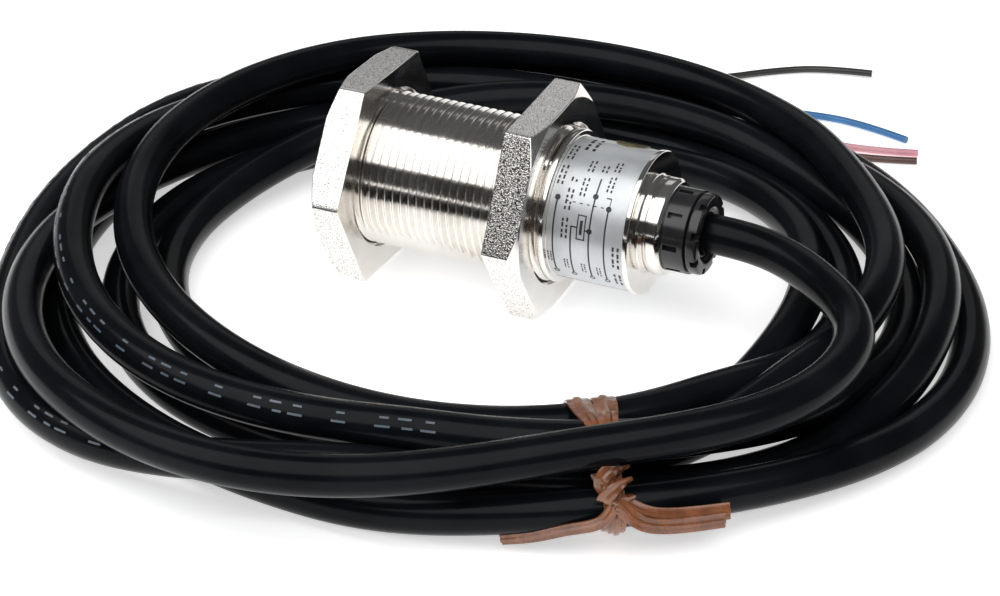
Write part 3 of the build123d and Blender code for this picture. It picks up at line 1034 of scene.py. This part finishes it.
def tie_loop():
    """Outline of the ribbon's loop in the tie's plane, round every strand but the top one."""
    strands = strands_at_tie()
    top = strands[0]
    reach = CABLE_RADIUS + TIE_THICKNESS * 0.75
    circles = []
    for out, height, _ in strands[1:]:
        circles += [(out + reach * cos(a), height + reach * sin(a)) for a in np.linspace(0, 2 * pi, 24)]
    outline = convex_hull(circles)
    closed = np.vstack([outline, outline[:1]])
    loop = places_along(closed, np.linspace(0, distances_along(closed)[-1], 91)[:-1])
    away = loop - np.array(top[:2])
    distance = np.linalg.norm(away, axis=1)
    inside = distance < reach
    loop[inside] = np.array(top[:2]) + away[inside] / distance[inside][:, None] * reach
    for _ in range(4):
        loop = 0.5 * loop + 0.25 * (np.roll(loop, 1, axis=0) + np.roll(loop, -1, axis=0))
    loop[:, 1] = np.maximum(loop[:, 1], TIE_WIRE / 2)
    return loop


def make_tie_bands(loop):
    """Two passes of the ribbon round the bundle, side by side inside the coil and lapped outside it."""
    middle = loop.mean(axis=0)
    bands = []
    for index, direction in enumerate((-1, 1)):
        points = []
        for out, height in loop:
            spread = float(np.interp(out, [41.0, 50.0], [1.35, 0.3]))
            lift = index * TIE_THICKNESS * (1.35 - spread)
            away = np.array([out, height]) - middle
            away /= np.linalg.norm(away)
            place = tie_out * (out + away[0] * lift) + tie_across * direction * spread
            points.append(place + np.array([0, 0, max(height + away[1] * lift, TIE_WIRE / 2)]))
        points.append(points[0])
        widths = np.interp([*loop[:, 0], loop[0, 0]], [43.0, 50.0], [TIE_WIDTH, 1.6])
        sides = [tie_across] * len(points)
        bands.append(ribbon(f"twist_tie_band_{index + 1}", np.array(points), sides, widths))
    return bands


def make_tie_knot(strand):
    """The ribbon's two ends twisted round each other over the outer strand, and the place where they part."""
    samples = 70
    twist_turns = 1.0
    twist_radius = 0.85
    knot_width = 2.4
    start_angle = 98.0
    swept = 58.0
    reach = CABLE_RADIUS + 1.55
    swing = [radians(start_angle - swept * i / (samples - 1)) for i in range(samples)]
    centres = []
    for angle in swing:
        height = strand[1] + reach * sin(angle)
        centres.append(tie_out * (strand[0] + reach * cos(angle)) + np.array([0, 0, height]))
    pieces = []
    for index, phase in enumerate((0.0, pi)):
        points = []
        sides = []
        for i, (centre, angle) in enumerate(zip(centres, swing)):
            outward = tie_out * cos(angle) + np.array([0, 0, sin(angle)])
            turn = phase + 2 * pi * twist_turns * i / samples
            points.append(centre + twist_radius * (cos(turn) * tie_across + 0.75 * sin(turn) * outward))
            sides.append(sin(turn + 0.5) * outward + cos(turn + 0.5) * tie_across)
        pieces.append(ribbon(f"twist_tie_knot_{index + 1}", np.array(points), sides, knot_width))
    return pieces, centres[-1]


# Free ends of the ribbon beyond the knot: name, width, how far the width is turned from level at the start
# and at the end, in degrees, and points.
TAIL_ROUTES = [
    ("twist_tie_tail_left", 1.35, 95, 80,
     [(28.9, -47.5, 4.9), (26.0, -48.4, 3.8), (22.6, -49.2, 2.5), (19.1, -49.8, 1.5)]),
    ("twist_tie_tail_right", 1.75, 126, 112,
     [(31.4, -45.6, 6.3), (33.4, -44.8, 5.4), (36.3, -42.5, 4.8), (39.8, -39.8, 4.7)]),
    ("twist_tie_tail_right_end", 1.6, 112, 100,
     [(31.6, -46.2, 5.7), (33.6, -45.6, 4.7), (36.5, -43.2, 4.1), (39.6, -40.6, 4.0)]),
]


def make_tie():
    """The whole twist tie; the second pass of each kind stands for no CAD node of its own."""
    loop = tie_loop()
    outer_strand = strands_at_tie()[-1]
    bands = make_tie_bands(loop)
    knot, knot_end = make_tie_knot(outer_strand)
    tails = []
    for name, width, tilt_start, tilt_end, route in TAIL_ROUTES:
        line = smooth_line([knot_end, *map(np.array, route)], 52)
        sides = []
        for i in range(len(line)):
            tilt = radians(tilt_start + (tilt_end - tilt_start) * i / (len(line) - 1))
            sides.append(tie_out * cos(tilt) + np.array([0, 0, sin(tilt)]))
        tails.append(ribbon(name, line, sides, width))
    replaced = [["tie_band"], None, ["tie_knot"], None, ["tie_tail_left"], ["tie_tail_right"], None]
    pieces = bands + knot + tails
    for piece, nodes in zip(pieces, replaced):
        finish_piece(piece, tie_plastic, nodes)
    return pieces


# ---- put it together ----
make_barrel()
make_end_cap()
make_nut("front_lock_nut", "front_nut", FRONT_NUT_X, FRONT_NUT_TURN, True)
make_nut("rear_lock_nut", "rear_nut", REAR_NUT_X, REAR_NUT_TURN, False)
make_label()
make_print()
make_strain_relief()
make_strain_relief_cap()
make_cable_print()
tie_pieces = make_tie()

node_materials = [
    (window_plastic, ["front_window"]),
    (seal_rubber, ["window_seal", "cable_seal"]),
    (black_plastic, ["optics_holder"]),
    (lens_plastic, ["emitter_lens", "receiver_lens"]),
    (led_clear, ["emitter_led", "indicator_led", "indicator_lens"]),
    (photodiode_plastic, ["receiver_photodiode"]),
    (circuit_laminate, ["optics_board", "circuit_board"]),
    (chip_plastic, ["signal_chip", "output_transistor", "voltage_regulator"]),
    (capacitor_ceramic, ["board_capacitors"]),
] + [(material, [f"inner_{core}"]) for core, material in core_materials.items()]
for material, nodes in node_materials:
    for node in nodes:
        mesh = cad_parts[node].data
        mesh.materials.clear()
        mesh.materials.append(material.data)


# ---- studio ----
FLOOR_REACH = 4.0
FLOOR_GLOW = 0.55
CARD_Y = -1.7             # dark card in front of the object, for the dark bands in the metal
CARD_REACH = 2.5
CARD_LOW = 0.002
CARD_HIGH = 0.9
WORLD_COLOUR = (0.97, 0.985, 1.0, 1)
WORLD_STRENGTH = 0.1


def stage_plane(name, corners, colour):
    """Square of floor or card, which isn't part of the object."""
    mesh = bpy.data.meshes.new(name)
    mesh.from_pydata(corners, [], [(0, 1, 2, 3)])
    surface = Material(f"{name}_paint", colour, Roughness=0.8)
    surface.colour(surface.noise(3), colour, colour)
    mesh.materials.append(surface.data)
    obj = bpy.data.objects.new(name, mesh)
    bpy.context.collection.objects.link(obj)
    return obj


def softbox(name, location, target, width, depth, radiance):
    """Area light of that radiance; it lights and is mirrored, but no camera sees it."""
    data = bpy.data.lights.new(name, "AREA")
    data.shape = "RECTANGLE"
    data.size = width
    data.size_y = depth
    data.energy = radiance * pi * width * depth
    light = bpy.data.objects.new(name, data)
    light.location = location
    light.rotation_euler = (Vector(target) - Vector(location)).to_track_quat("-Z", "Y").to_euler()
    light.visible_camera = False
    bpy.context.collection.objects.link(light)
    return light


floor = stage_plane(
    "floor",
    [(-FLOOR_REACH, -FLOOR_REACH, 0), (FLOOR_REACH, -FLOOR_REACH, 0),
     (FLOOR_REACH, FLOOR_REACH, 0), (-FLOOR_REACH, FLOOR_REACH, 0)],
    (0.9, 0.9, 0.9),
)
floor_shader = floor.data.materials[0].node_tree.nodes["Principled BSDF"]
floor_shader.inputs["Emission Color"].default_value = (1, 1, 1, 1)
floor_shader.inputs["Emission Strength"].default_value = FLOOR_GLOW
dark_card = stage_plane(
    "dark_card",
    [(-CARD_REACH, CARD_Y, CARD_LOW), (CARD_REACH, CARD_Y, CARD_LOW),
     (CARD_REACH, CARD_Y, CARD_HIGH), (-CARD_REACH, CARD_Y, CARD_HIGH)],
    (0.01, 0.01, 0.01),
)
dark_card.visible_camera = False
dark_card.visible_shadow = False
softbox("overhead", (-0.2, -0.66, 0.8), (-0.2, -0.66, 0), width=2.0, depth=1.36, radiance=2.3)
softbox("back", (-0.75, 1.6, 1.0), (0, 0, 0.1), width=1.6, depth=0.7, radiance=0.5)

world = bpy.data.worlds.new("studio")
world.use_nodes = True
world.node_tree.nodes["Background"].inputs["Color"].default_value = WORLD_COLOUR
world.node_tree.nodes["Background"].inputs["Strength"].default_value = WORLD_STRENGTH
bpy.context.scene.world = world
bpy.context.scene.view_settings.view_transform = "Standard"
